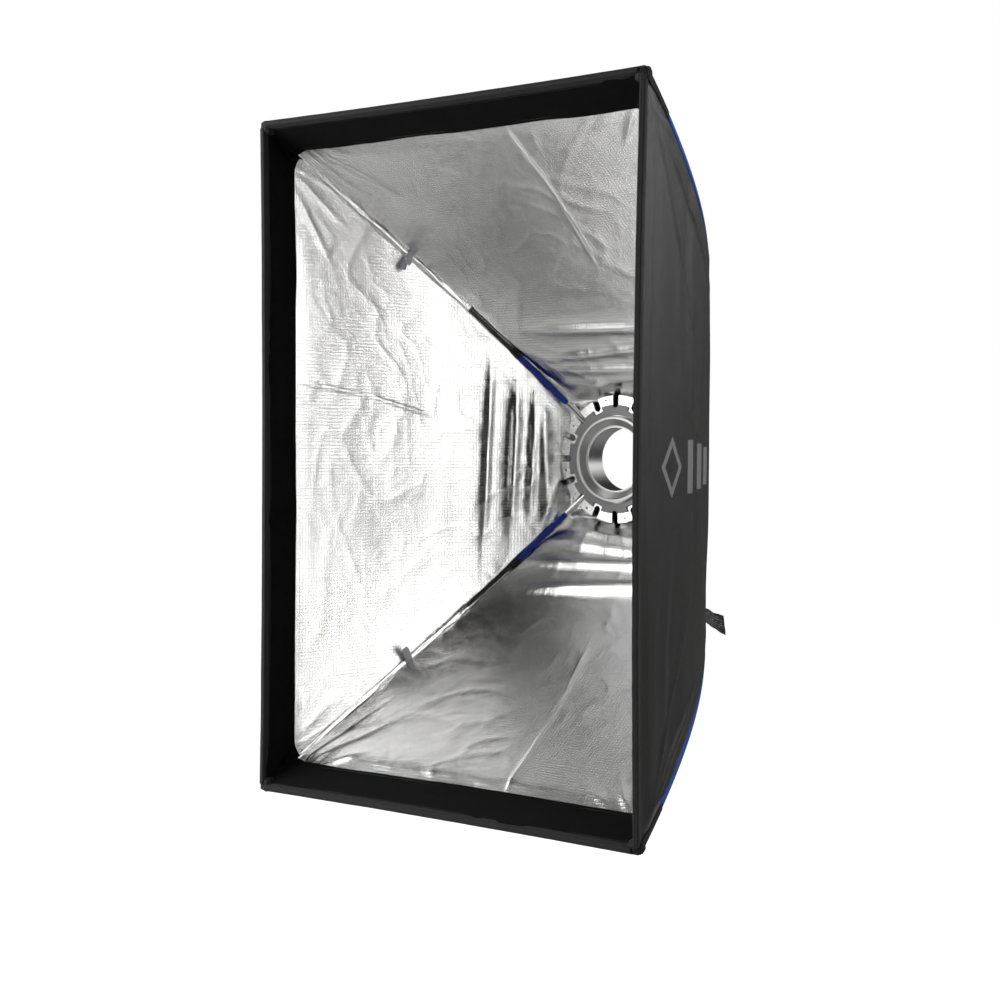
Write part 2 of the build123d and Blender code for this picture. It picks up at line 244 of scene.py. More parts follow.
def stitches(name, lines, material, pitch=3.4 * MM, share=0.68, radius=0.28 * MM, rise=0.25 * MM):
    """Rows of thread. lines is a list of (points, normals) along which the stitches lie."""
    points, faces, base = [], [], 0
    turns = np.linspace(0, 2 * np.pi, 6, endpoint=False)
    profile = np.array([0.0, 0.15, 0.5, 0.85, 1.0])
    bulge = np.sin(np.pi * profile)
    for path, normals in lines:
        length = run_along(path)
        for k in range(int(length[-1] / pitch)):
            at = (k + 0.5) * pitch + (profile - 0.5) * pitch * share
            centre = at_length(at, length, path)
            up = unit(at_length(at, length, normals))
            along = unit(centre[-1] - centre[0])
            across = unit(np.cross(up, along))
            centre = centre + up * (rise * bulge)[:, None]
            size = radius * (0.35 + 0.65 * bulge)[:, None]
            for turn in turns:
                points.append(centre + across * size * np.cos(turn) + up * size * np.sin(turn))
            grid = grid_faces(len(turns), len(profile)) + base
            last = np.arange(len(profile))
            start, end = last + base, last + base + (len(turns) - 1) * len(profile)
            faces.append(grid)
            faces.append(np.stack([end[:-1], start[:-1], start[1:], end[1:]], -1))
            base += len(turns) * len(profile)
    return make_mesh(name, np.concatenate(points), np.concatenate(faces), material)


# ---- Materials ----
class Tree:
    """Short way to build a material's nodes."""

    def __init__(self, name):
        self.material = bpy.data.materials.new(name)
        self.material.use_nodes = True
        self.tree = self.material.node_tree
        self.shader = self.tree.nodes["Principled BSDF"]

    def node(self, kind, inputs=None, **settings):
        """Add a shader node, set its properties and its sockets, which may be other nodes' outputs."""
        made = self.tree.nodes.new("ShaderNode" + kind)
        for key, value in settings.items():
            setattr(made, key, value)
        for key, value in (inputs or {}).items():
            self.put(made.inputs[key], value)
        return made

    def put(self, socket, value):
        """Link or set a socket."""
        if isinstance(value, bpy.types.NodeSocket):
            self.tree.links.new(value, socket)
        else:
            socket.default_value = value

    def maths(self, operation, *values):
        """One Math node's output."""
        return self.node("Math", dict(enumerate(values)), operation=operation).outputs[0]

    def cloth_axes(self):
        """The cloth's two flat coordinates, in metres."""
        uv = self.node("UVMap", uv_map="cloth").outputs["UV"]
        split = self.node("SeparateXYZ", {0: uv})
        return uv, split.outputs["X"], split.outputs["Y"]

    def place(self):
        """Position on the object at rest, in metres."""
        return self.node("TexCoord").outputs["Object"]

    def noise(self, vector, scale, detail=3.0, roughness=0.5):
        """Noise from 0 to 1."""
        sockets = {"Vector": vector, "Scale": scale, "Detail": detail, "Roughness": roughness}
        return self.node("TexNoise", sockets).outputs["Fac"]

    def blend(self, factor, low, high):
        """A value or colour between low and high."""
        if isinstance(high, tuple):
            low = (*low, 1) if isinstance(low, tuple) else low
            return self.node("Mix", {0: factor, 6: low, 7: (*high, 1)}, data_type="RGBA").outputs[2]
        return self.ramp(factor, 0.0, 1.0, low, high)

    def ramp(self, value, start, end, low=0.0, high=1.0):
        """Goes from low to high while value goes from start to end."""
        return self.node("MapRange", {0: value, 1: start, 2: end, 3: low, 4: high}).outputs[0]

    def threads(self, across, along, pitch):
        """Height of a plain weave, 0 to 1."""
        turn = 2 * math.pi / pitch
        warp = self.maths("SINE", self.maths("MULTIPLY", across, turn))
        weft = self.maths("SINE", self.maths("MULTIPLY", along, turn))
        return self.maths("MULTIPLY_ADD", self.maths("MULTIPLY", warp, weft), 0.5, 0.5)

    def lines(self, value, pitch, width):
        """Narrow ridges, 0 to 1, once every pitch."""
        return self.ramp(self.maths("PINGPONG", value, pitch / 2), width, 0.0)

    def bump(self, height, distance, strength=1.0, under=None):
        """A normal from a height field."""
        sockets = {"Height": height, "Distance": distance, "Strength": strength}
        made = self.node("Bump", sockets)
        if under is not None:
            self.put(made.inputs["Normal"], under)
        return made.outputs[0]

    def cloth(self, colour, rough, normal, sheen, gloss=0.35, sheen_rough=0.4):
        """Finish as a cloth, with the soft sheen of its fibres."""
        return self.finish(
            Base_Color=colour,
            Roughness=rough,
            Normal=normal,
            Sheen_Weight=sheen,
            Sheen_Roughness=sheen_rough,
            Specular_IOR_Level=gloss,
        )

    def finish(self, **sockets):
        """Set the shader's sockets by name, with _ for a space."""
        for key, value in sockets.items():
            if isinstance(value, tuple) and len(value) == 3:
                value = (*value, 1)
            self.put(self.shader.inputs[key.replace("_", " ")], value)
        return self.material


# Printed sign, in metres of cloth: how low it sits, the diamond's place and reach, then the row of bars.
SIGN_DROP, DIAMOND_AT, DIAMOND_REACH, DIAMOND_LINE = 5 * MM, 408 * MM, 31 * MM, 6 * MM
ROW_START, ROW_LENGTH, BAR_PITCH, BAR_WIDTH = 348 * MM, 210 * MM, 42 * MM, 24 * MM
BAR_HALF, BAR_STEP = 33 * MM, 4.5 * MM  # half height of the first bar, and how much each next one loses


def pictogram(t, across, along):
    """Mask, 0 to 1, of a plain printed sign: a diamond outline, then five bars that get shorter."""
    up = t.maths("ADD", across, SIGN_DROP)
    ahead = t.maths("SUBTRACT", along, DIAMOND_AT)
    reach = t.maths("ADD", t.maths("ABSOLUTE", up), t.maths("ABSOLUTE", ahead))
    diamond = t.maths("COMPARE", reach, DIAMOND_REACH, DIAMOND_LINE)
    back = t.maths("SUBTRACT", ROW_START, along)
    number = t.maths("FLOOR", t.maths("DIVIDE", back, BAR_PITCH))
    inside = t.maths("LESS_THAN", t.maths("MODULO", back, BAR_PITCH), BAR_WIDTH)
    tall = t.maths("MULTIPLY_ADD", number, -BAR_STEP, BAR_HALF)
    short_enough = t.maths("LESS_THAN", t.maths("ABSOLUTE", up), tall)
    in_row = t.maths("MULTIPLY", t.maths("GREATER_THAN", back, 0.0), t.maths("LESS_THAN", back, ROW_LENGTH))
    bars = t.maths("MULTIPLY", t.maths("MULTIPLY", inside, short_enough), in_row)
    return t.maths("MAXIMUM", diamond, bars)


def face_cloth(name="black_face_cloth", printed=False):
    """Black nylon of the shell's outside: fine ripstop weave, dusty and slightly worn."""
    t = Tree(name)
    uv, across, along = t.cloth_axes()
    weave = t.threads(across, along, 0.9 * MM)
    grid = t.maths("MAXIMUM", t.lines(across, 5 * MM, 0.35 * MM), t.lines(along, 5 * MM, 0.35 * MM))
    height = t.maths("MULTIPLY_ADD", grid, 0.8, weave)
    dust = t.noise(uv, 14, 5, 0.6)
    colour = t.blend(dust, (0.0125, 0.0117, 0.0112), (0.0225, 0.0207, 0.0196))
    rough = t.blend(t.noise(uv, 55), 0.36, 0.48)
    if printed:
        ink = t.maths("MULTIPLY", pictogram(t, across, along), t.blend(t.noise(uv, 240, 4), 0.75, 1.0))
        colour = t.blend(ink, (0.0165, 0.0158, 0.0152), (0.30, 0.30, 0.30))
    return t.cloth(colour, rough, t.bump(height, 0.00010, 0.6), sheen=0.16, gloss=0.60)


def lining_cloth(name, shine, crush_depth):
    """Aluminised nylon: mirror-like coat over a ripstop weave, dulled where it has been creased."""
    t = Tree(name)
    uv, across, along = t.cloth_axes()
    weave = t.threads(across, along, 0.8 * MM)
    grid = t.maths("MAXIMUM", t.lines(across, 4.6 * MM, 1.1 * MM), t.lines(along, 4.6 * MM, 1.1 * MM))
    crush = t.noise(uv, 65, 4, 0.55)
    soft = t.noise(uv, 22, 3, 0.5)
    normal = t.bump(crush, crush_depth, 0.5)
    normal = t.bump(t.maths("MULTIPLY_ADD", grid, 1.2, weave), 0.00008, 0.7, normal)
    clean = t.blend(soft, (0.86, 0.86, 0.85), (0.94, 0.94, 0.935))
    colour = t.blend(grid, 0.0, 0.38)
    colour = t.blend(colour, clean, (0.30, 0.30, 0.30))
    rough = t.maths("MULTIPLY_ADD", grid, 0.06, t.blend(soft, shine - 0.04, shine + 0.06))
    rough = t.maths("MULTIPLY", rough, t.ramp(along, 90 * MM, 220 * MM, 0.55))  # less worn at the rear
    return t.finish(Base_Color=colour, Metallic=1.0, Roughness=rough, Normal=normal)


def woven_tape(name, dark, light, pitch=1.1 * MM, sheen=0.4, roughness=0.75, outer_leg=0.0):
    """Grosgrain or webbing: ribs across the tape. Its outer leg, up to that width, is as grey as a panel."""
    t = Tree(name)
    uv, across, along = t.cloth_axes()
    ribs = t.maths("MULTIPLY_ADD", t.maths("SINE", t.maths("MULTIPLY", along, 2 * math.pi / pitch)), 0.5, 0.5)
    weave = t.threads(across, along, pitch)
    height = t.maths("MULTIPLY_ADD", weave, 0.4, ribs)
    tint = t.maths("MULTIPLY_ADD", ribs, 0.45, t.maths("MULTIPLY", t.noise(uv, 160, 4), 0.55))
    colour = t.blend(tint, dark, light)
    if outer_leg:
        colour = t.blend(t.maths("LESS_THAN", across, outer_leg), colour, (0.030, 0.0285, 0.0275))
    rough = t.blend(t.noise(uv, 80), roughness - 0.08, roughness + 0.08)
    return t.cloth(colour, rough, t.bump(height, 0.00022, 0.8), sheen)


def loop_pile():
    """Fuzzy loop side of hook-and-loop tape."""
    t = Tree("loop_pile")
    uv, across, along = t.cloth_axes()
    fuzz = t.noise(uv, 900, 5, 0.7)
    tufts = t.noise(uv, 260, 3, 0.6)
    height = t.maths("MULTIPLY_ADD", tufts, 0.7, fuzz)
    wear = t.noise(uv, 9, 4, 0.6)
    colour = t.blend(t.maths("MULTIPLY", wear, tufts), (0.0022, 0.0022, 0.0024), (0.0075, 0.0073, 0.0073))
    rough = t.blend(fuzz, 0.88, 0.98)
    return t.cloth(colour, rough, t.bump(height, 0.0006, 0.8), 0.012, gloss=0.05, sheen_rough=0.7)


def thread(name, colour):
    """Twisted polyester thread."""
    t = Tree(name)
    twist = t.noise(t.place(), 1500, 2)
    darker = tuple(part * 0.55 for part in colour)
    return t.finish(
        Base_Color=t.blend(twist, darker, colour),
        Roughness=t.blend(twist, 0.55, 0.8),
        Sheen_Weight=0.3,
        Normal=t.bump(twist, 0.0002, 0.6),
    )


def turned_metal(name, dark, light, roughness, lines=0.6, metallic=1.0):
    """Lathe-turned metal: fine rings about the bayonet's axis, faint stains and handling marks, and painted
    shade that darkens its slots and crevices.
    """
    t = Tree(name)
    place = t.place()
    split = t.node("SeparateXYZ", {0: place})
    x, z = split.outputs["X"], split.outputs["Z"]
    radius = t.maths("SQRT", t.maths("ADD", t.maths("MULTIPLY", x, x), t.maths("MULTIPLY", z, z)))
    rings = t.node("CombineXYZ", {0: radius, 1: split.outputs["Y"]}).outputs[0]
    marks = t.noise(rings, 1400, 3, 0.7)
    stains = t.noise(place, 45, 5, 0.6)
    scuffs = t.noise(place, 380, 4, 0.7)
    # Painted shade: ambient occlusion darkens the colour in slots, grooves and crevices, where shade falls.
    open_air = t.node("AmbientOcclusion", {"Distance": 18 * MM}, samples=6, only_local=True)
    painted_crevice_shade = t.ramp(open_air.outputs["AO"], 0.55, 0.92, 0.92, 0.0)
    return t.finish(
        Base_Color=t.blend(painted_crevice_shade, t.blend(stains, dark, light), (0.02, 0.02, 0.02)),
        Metallic=metallic,
        Roughness=t.maths("MULTIPLY_ADD", scuffs, 0.12, t.blend(stains, roughness - 0.05, roughness + 0.05)),
        Normal=t.bump(marks, 0.00006, lines, t.bump(scuffs, 0.00004, 0.3)),
    )


def bar_metal(name, dark, light, roughness, metallic=1.0, coat=0.0):
    """Drawn or coated bar: faint pits and rub marks."""
    t = Tree(name)
    place = t.place()
    rubbed = t.noise(place, 120, 5, 0.65)
    pits = t.noise(place, 900, 3, 0.6)
    return t.finish(
        Base_Color=t.blend(rubbed, dark, light),
        Metallic=metallic,
        Roughness=t.blend(rubbed, roughness - 0.07, roughness + 0.1),
        Coat_Weight=coat,
        Coat_Roughness=0.25,
        Normal=t.bump(pits, 0.00005, 0.5),
    )


def sleeve_cloth():
    """Sleeve sewn from two cloths: blue by the speedring, with a black cuff at its front end."""
    t = Tree("blue_sleeve_cloth")
    uv, across, along = t.cloth_axes()
    weave = t.threads(across, along, 0.7 * MM)
    fibre = t.noise(uv, 170, 4)
    cuff = t.ramp(along, 94 * MM, 97 * MM)
    blue = t.blend(fibre, (0.003, 0.012, 0.12), (0.008, 0.034, 0.40))
    black = t.blend(fibre, (0.003, 0.003, 0.004), (0.010, 0.010, 0.012))
    colour = t.node("Mix", {0: cuff, 6: blue, 7: black}, data_type="RGBA").outputs[2]
    return t.cloth(colour, t.blend(fibre, 0.45, 0.62), t.bump(weave, 0.00015, 0.7), sheen=0.08)


FACE = face_cloth()
PRINTED_FACE = face_cloth("printed_face_cloth", True)
LINING = lining_cloth("silver_lining_cloth", 0.18, 0.00018)
CHANNEL = lining_cloth("silver_channel_cloth", 0.13, 0.0002)
TAPE_BLACKS = (0.0040, 0.0040, 0.0043), (0.0130, 0.0125, 0.0128)
BLACK_TAPE = woven_tape("black_binding_tape", *TAPE_BLACKS, sheen=0.08)
EDGE_TAPE = woven_tape("black_edge_tape", *TAPE_BLACKS, sheen=0.08, outer_leg=6.6 * MM)
BLUE_TAPE = woven_tape(
    "blue_seam_tape", (0.004, 0.045, 0.36), (0.012, 0.13, 0.80), 0.9 * MM, sheen=0.12, roughness=0.6
)
SLEEVE = sleeve_cloth()
GREY_TAPE = woven_tape(
    "grey_tab_webbing", (0.74, 0.74, 0.79), (0.88, 0.88, 0.93), 1.0 * MM, sheen=0.3, roughness=0.7
)
LOOP = loop_pile()
BLACK_THREAD = thread("black_thread", (0.030, 0.030, 0.032))
BLUE_THREAD = thread("blue_thread", (0.03, 0.10, 0.55))


# ---- Shell surfaces ----
def face_points(name, share, across, inset=0.0):
    """Points of one face of the shell and its outward normals.

    share runs from the rear edge to the front edge and across from seam to seam, -1 to 1.
    """
    sign, out, bow = (FACES[name], 0, SIDE_BOW) if name in UPRIGHT else (FACES[name], 2, END_BOW)
    slope = bezier_slope(SEAM, share)
    points = bezier(SEAM, share) + 0 * across[..., None]
    normals = 0 * points
    points[..., out] *= sign
    points[..., 2 - out] *= across
    normals[..., out] = -sign * slope[..., 1]
    normals[..., 1] = slope[..., out]
    normals = unit(normals)
    pull = bow * (1 - across**2) * smooth(0.35, 1.0, share) ** 1.5
    return points - normals * (pull + inset)[..., None], normals


def face_flat(name, share, across):
    """Flat coordinates on the cut cloth: along the seam direction from the rear, and across."""
    fine = np.linspace(0, 1, 1001)
    seam = bezier(SEAM, fine)
    pick = 0 if name in UPRIGHT else 2
    steps = np.hypot(np.diff(seam[:, pick]), np.diff(seam[:, 1]))
    run = np.concatenate([[0], np.cumsum(steps)])
    half = seam[:, 2 - pick]
    return np.interp(share, fine, run) + 0 * across, np.interp(share, fine, half) * across


def share_at_depth(depth, start=0.6, steps=801):
    """Seam share at a distance behind the front plane, looked for from start to the front."""
    fine = np.linspace(start, 1, steps)
    return np.interp(-(FRONT_Y + depth), -bezier(SEAM, fine)[:, 1], fine)


CLOTH_END = float(share_at_depth(BINDING, 0.9, 401))  # where the cloth meets the binding
BAND_SHARE = float(share_at_depth(BAND_DEPTH))  # where the lining goes behind the band


# Folds of the linings, worked out for each face from its own length and half width.
LEVELS, FIRST_LEVEL, LEVEL_STEP = 4, 42 * MM, 1.46  # slack folds: how many, run of the first, growth
CORNER_TURNS = (18, 36, 58)  # drag folds at each front corner, in degrees from the face's length
CORNER_PULL = 150 * MM
CREASE_PLACE = 0.24  # packing crease, as a share of the half width


def level_folds(half_at, draw):
    """Slack folds across the face, closest together by the speedring: (start, end, width, height)."""
    folds = []
    for level in range(LEVELS):
        run = FIRST_LEVEL * LEVEL_STEP**level
        reach = draw.uniform(0.62, 0.88) * half_at(run)
        tilt = draw.uniform(-0.15, 0.15) * reach
        size = draw.uniform(0.7, 1.1)
        folds.append(((run + tilt, reach), (run - tilt, -reach), 10 * MM * size, 7 * MM * size))
    return folds


def corner_folds(half_at, length, draw, reach=CORNER_PULL, fullness=1.0):
    """Drag folds that fan out from both front corners, where the cloth is pulled tightest."""
    folds = []
    for side in (-1, 1):
        start = (0.95 * length, 0.93 * side * half_at(0.95 * length))
        for turn in np.radians(CORNER_TURNS):
            pull = reach * draw.uniform(0.6, 1.2)
            end = (start[0] - pull * np.cos(turn), start[1] - side * pull * np.sin(turn))
            folds.append((start, end, draw.uniform(3, 7) * MM, fullness * draw.uniform(1.8, 4) * MM))
    return folds


def packing_crease(half_at, length, draw):
    """The line that the shell is folded along when it is packed, in straight lengths that wander."""
    stops = np.array([0.42, 0.66, 0.94]) * length
    places = CREASE_PLACE * half_at(stops) * draw.uniform(0.7, 1.1, 3)
    corners = list(zip(stops, places))
    return [(near, far, 2.6 * MM, 2.3 * MM) for near, far in zip(corners, corners[1:])]


def half_width_at(run, half):
    """A function that gives the face's half width at a distance along it."""

    def half_at(place):
        return np.interp(place, run[:, 0], half[:, 0])

    return half_at


def lining_folds(run, half, seed):
    """All the folds of one lining."""
    draw = np.random.default_rng(seed)
    half_at, length = half_width_at(run, half), float(run.max())
    return [
        *level_folds(half_at, draw),
        *corner_folds(half_at, length, draw),
        *packing_crease(half_at, length, draw),
    ]


def panel_folds(run, half, seed):
    """The folds of one black panel, which is stretched tighter than its lining."""
    draw = np.random.default_rng(seed)
    return corner_folds(half_width_at(run, half), float(run.max()), draw, 260 * MM, 1.1)


HEM_RADIUS, HEM_Y = 85.5 * MM, REAR_Y - 2.2 * MM  # where the lining's hem meets the speedring's rim
HEM_LENGTH = 20 * MM


def cloth_grid(name, rows, columns):
    """One face's cloth: its two shares, flat run and place, half width and distance from the seam."""
    share = np.linspace(0.0, CLOTH_END, rows)[:, None]
    across = np.linspace(-1, 1, columns)[None, :]
    run, place = face_flat(name, share, across)
    half = np.abs(place[:, -1:])
    return share, across, run, place, half, half - np.abs(place)


def add_folds(height, run, place, folds):
    """A height field with folds laid on it."""
    for start, end, width, rise in folds:
        height = height + fold(run, place, start, end, width, rise)
    return height


def facing(name, outward, points, uv):
    """One face's grid with its columns in the order that turns it outward, or inward."""
    if ((FACES[name] > 0) == (name in UPRIGHT)) != outward:
        return points[:, ::-1], uv[:, ::-1]
    return points, uv


def cloth_waves(run, across, half, seed):
    """Soft sag, folds level with the rear edge, gathers at the seams and crushed cloth at the ring."""
    edge = (half - np.abs(across)).clip(0)
    drift = 0.6 * noise(run * 5, across * 5, seed + 2)
    sag = 2.6 * MM * (1 + layered_noise(run * 7, across * 4.5, seed, 2))
    swell = 0.9 * MM * (1 + noise(run * 22 + drift * 2, across * 3, seed + 10))
    gathers = 1.6 * MM * (1 + noise(run * 52, edge * 9, seed + 20)) * np.exp(-edge / 0.025)
    near_ring = np.exp(-((run / 0.075) ** 2))
    crush = 4.5 * MM * near_ring * creases(run * 13, across * 9, seed + 30, 2) * smooth(0.010, 0.045, edge)
    fine = 0.85 * MM * creases(run * 21, across * 15, seed + 40, 4)
    return sag + swell + gathers + crush + fine


def rear_hem(edge_points, rows, seed):
    """Rows of cloth that turn in from the shell's rear edge to the speedring's rim."""
    turn = np.arctan2(edge_points[:, 2], edge_points[:, 0])
    rim = np.stack([HEM_RADIUS * np.cos(turn), 0 * turn + HEM_Y, HEM_RADIUS * np.sin(turn)], -1)
    reach = np.linspace(1, 0, rows + 1)[:-1, None]
    points = edge_points[None] + (rim - edge_points)[None] * reach[..., None]
    pucker = noise(turn[None] * 9 + 20, reach * 2.0 + 0 * turn[None], seed)
    points[..., 1] -= 2.6 * MM * (1 + pucker) * np.sin(np.pi * reach.clip(0, 0.75) / 0.75)
    return points


def make_lining(name, seed, rows=150, columns=290, hem_rows=12):
    """Silver lining of one face: one continuous sheet, slack between its seams."""
    share, across, run, place, half, edge = cloth_grid(name, rows, columns)
    folds = lining_folds(run, half, seed)
    height = add_folds(cloth_waves(run, place, half, seed), run, place, folds)
    behind_band = 1 - smooth(BAND_SHARE - 0.035, BAND_SHARE + 0.01, share)
    hold = smooth(0, 16 * MM, edge) * behind_band * smooth(-0.002, 0.03, run)
    inset = 1.0 * MM + (LINING_GAP - 1.0 * MM) * smooth(0, 12 * MM, edge) + height * hold
    points, _ = face_points(name, share, across, inset)
    points = np.concatenate([rear_hem(points[0], hem_rows, seed), points])
    hem_run = -HEM_LENGTH * np.linspace(1, 0, hem_rows + 1)[:-1, None]
    uv = np.concatenate([pair(place[:1], hem_run), pair(place, run)])
    points, uv = facing(name, False, points, uv)
    piece = grid_piece(f"lining_cloth_{name}", points, LINING, uv, 0.35 * MM, outward=-1.0)
    attach(piece, "silver_lining", f"lining_{name}")


def make_panel(name, seed, rows=130, columns=260):
    """Black face cloth of one face: stretched, with long ripples that start at the seams."""
    share, across, run, place, half, edge = cloth_grid(name, rows, columns)
    drift = 0.35 * noise(run * 5, place * 4, seed + 3)
    long_ripples = 1.7 * MM * (1 + noise(run * 42 + drift * 6, place * 4, seed))
    puckers = 1.3 * MM * (1 + noise(place * 60, run * 7, seed + 5)) * np.exp(-edge / 0.025)
    sag = 0.8 * MM * (1 + layered_noise(run * 8, place * 6, seed + 7))
    rear = 1.6 * MM * np.exp(-((run / 0.06) ** 2)) * (1 + noise(place * 45, run * 15, seed + 9))
    folds = panel_folds(run, half, seed)
    height = add_folds(long_ripples + puckers + sag + rear, run, place, folds)
    hold = smooth(4 * MM, 24 * MM, edge) * (1 - smooth(0.955, 0.985, share)) * smooth(-0.002, 0.02, run)
    points, _ = face_points(name, share, across, -height * hold)
    points, uv = facing(name, True, points, pair(place, run))
    cloth = PRINTED_FACE if name == "right" else FACE
    piece = grid_piece(f"panel_cloth_{name}", points, cloth, uv, 0.5 * MM, outward=-1.0)
    attach(piece, "black_cloth", f"panel_{name}")


for number, face in enumerate(FACES):
    make_panel(face, 100 + 50 * number)
    make_lining(face, 400 + 50 * number)


# ---- Hook-and-loop band inside the front edge ----
WEB = 26 * MM  # how far the band cuts across each corner at its inner edge


def make_band(name, seed, rows=26, columns=240):
    """One side of the loop-pile band, from mitre to mitre, cutting across its corners."""
    depth = np.linspace(BINDING, BAND_DEPTH, rows)[:, None]
    across = np.linspace(-1, 1, columns)[None, :]
    across = np.sign(across) * (1 - (1 - np.abs(across)) ** 1.35)
    share = share_at_depth(depth)
    run, place = face_flat(name, share, across)
    half = np.abs(place[:, -1:])
    inset = LINING_GAP + BAND_GAP + 0.9 * MM * (1 + layered_noise(place * 12, depth * 20, seed))
    deep = (depth - BINDING) / (BAND_DEPTH - BINDING)
    wave = 1.6 * MM * smooth(0.5, 1, deep)
    inset = inset + wave * (1 + noise(place * 16, depth * 3, seed + 4))
    web = WEB * smooth(0.1, 1.0, deep) + 3 * MM
    corner = (web - (half - np.abs(place))).clip(0)
    inset = inset + 0.5 * corner + 0.1 * corner**2 / web
    points, _ = face_points(name, share + 0 * across, across, inset)
    axis = 2 if name in UPRIGHT else 0
    points[..., axis] *= 1 - (0.5 * corner + 3.6 * MM) / half * np.abs(across) ** 30
    points, uv = facing(name, False, points, pair(place, run))
    piece = grid_piece(f"loop_band_{name}", points, LOOP, uv, 1.2 * MM)
    attach(piece, "hook_and_loop", f"front_band_{name}")


for number, face in enumerate(FACES):
    make_band(face, 700 + 50 * number)


# ---- Binding round the front edge ----
# Folded tape in section, in mm: (depth behind the front plane, inset from the face), outer leg first.
BINDING_SECTION = [
    (7.0, -0.9), (5.0, -1.0), (2.2, -1.1), (0.3, -0.3), (0.0, 1.6), (0.3, 3.0),
    (0.0, 4.4), (0.5, 6.3), (2.4, 6.9), (5.0, 6.7), (8.4, 6.3),
]
PARTING = 9 * MM  # how far the binding stops short of the corners, under the corner caps


def rounded(points, rounds=3):
    """An open outline with its corners cut off again and again."""
    points = np.asarray(points, float)
    for _ in range(rounds):
        near, far = 0.75 * points[:-1] + 0.25 * points[1:], 0.25 * points[:-1] + 0.75 * points[1:]
        points = np.concatenate([points[:1], np.stack([near, far], 1).reshape(-1, 2), points[-1:]])
    return points


def make_binding(name, seed, columns=300):
    """One side of the folded tape that wraps the front edge."""
    section = rounded(BINDING_SECTION, 2) * MM
    depth, inset = section[:, 0:1], section[:, 1:2]
    long_half = HALF_HEIGHT if name in UPRIGHT else HALF_WIDTH
    across = np.linspace(-1, 1, columns)[None, :] * (1 - PARTING / long_half)
    place = across * long_half
    roll = 0.15 * MM * layered_noise(place * 14, 0 * place, seed) * (1 + 0 * inset)
    pinch = 0.10 * MM * noise(place * 90, depth * 160, seed + 5)
    depth = (depth + 0.12 * MM * noise(place * 20, 0 * place, seed + 8)).clip(0)
    points, _ = face_points(name, share_at_depth(depth), across, inset + roll + pinch)
    points, uv = facing(name, True, points, pair(run_along(section)[:, None], place))
    piece = grid_piece(f"binding_{name}", points, EDGE_TAPE, uv, 0.55 * MM)
    attach(piece, "black_webbing", f"edge_binding_{name}")


for number, face in enumerate(FACES):
    make_binding(face, 900 + 50 * number)


# ---- Tape and webbing folded over the corner seams ----
def corner_normals(corner, share):
    """Seam points and the outward normals of the side and end faces that meet there."""
    side, end = CORNERS[corner]
    seam, slope = bezier(SEAM, share), bezier_slope(SEAM, share)
    mirror = np.array([side, 1, end])
    zero = 0 * share
    to_side = unit(np.stack([-slope[:, 1], slope[:, 0], zero], -1)) * mirror
    to_end = unit(np.stack([zero, slope[:, 2], -slope[:, 1]], -1)) * mirror
    return seam * mirror, to_side, to_end


def folded_over(corner, share, on_side, on_end, lift, seed, columns=11):
    """Grid of points of a tape folded over a corner seam, reaching a way down both faces."""
    side, end = CORNERS[corner]
    seam, to_side, to_end = corner_normals(corner, share)
    length = share * SEAM_LENGTH

    def leg(reaches, down, width, normal, shift):
        lines = []
        for reach in reaches:
            flutter = 0.30 * MM * (1 + noise(length * 60, shift + 0 * length + reach * 3, seed)) * reach
            rise = normal * (lift + flutter)[:, None]
            lines.append(seam + np.array(down) * (width * reach)[:, None] + rise)
        return lines

    inward, outward = np.linspace(1, 0.06, columns), np.linspace(0.06, 1, columns)
    ridge = seam + unit(to_side + to_end) * (1.25 * lift)
    rows = leg(inward, [0, 0, -end], on_side, to_side, 0)
    rows += [ridge, *leg(outward, [-side, 0, 0], on_end, to_end, 9)]
    points = np.stack(rows, 1)
    uv = pair(run_along(points[0]), run_along(seam)[:, None])
    if side * end > 0:
        points, uv = points[:, ::-1], uv[:, ::-1]
    return points, uv


# Widest reach of the blue tape down the side face of each corner, where it is widest.
TAPE_REACH = {"top_left": 6.5, "top_right": 7.5, "bottom_left": 8.0, "bottom_right": 17.0}
TAPE_SPAN = (0.03, 0.905)


def make_seam_tape(corner, seed, rows=220):
    """Blue tape over one corner seam, fuller towards the front."""
    share = np.linspace(*TAPE_SPAN, rows)
    full = smooth(0.35, 0.72, share) * (1 - 0.55 * smooth(0.84, 0.91, share))
    on_side = (3.4 + (TAPE_REACH[corner] - 3.4) * full) * MM
    on_end = (9.0 - 0.5 * TAPE_REACH[corner] * full) * MM
    points, uv = folded_over(corner, share, on_side, on_end, 1.0 * MM, seed)
    piece = grid_piece(f"blue_tape_{corner}", points, BLUE_TAPE, uv, 0.6 * MM)
    attach(piece, "blue_tape", f"seam_tape_{corner}")
    _, to_side, to_end = corner_normals(corner, share)
    side_row, end_row = points[:, 2], points[:, -3]
    if CORNERS[corner][0] * CORNERS[corner][1] > 0:
        side_row, end_row = end_row, side_row
    lines = [(side_row + to_side * 0.25 * MM, to_side), (end_row + to_end * 0.25 * MM, to_end)]
    attach(stitches(f"tape_stitching_{corner}", lines, BLUE_THREAD), "blue_tape")


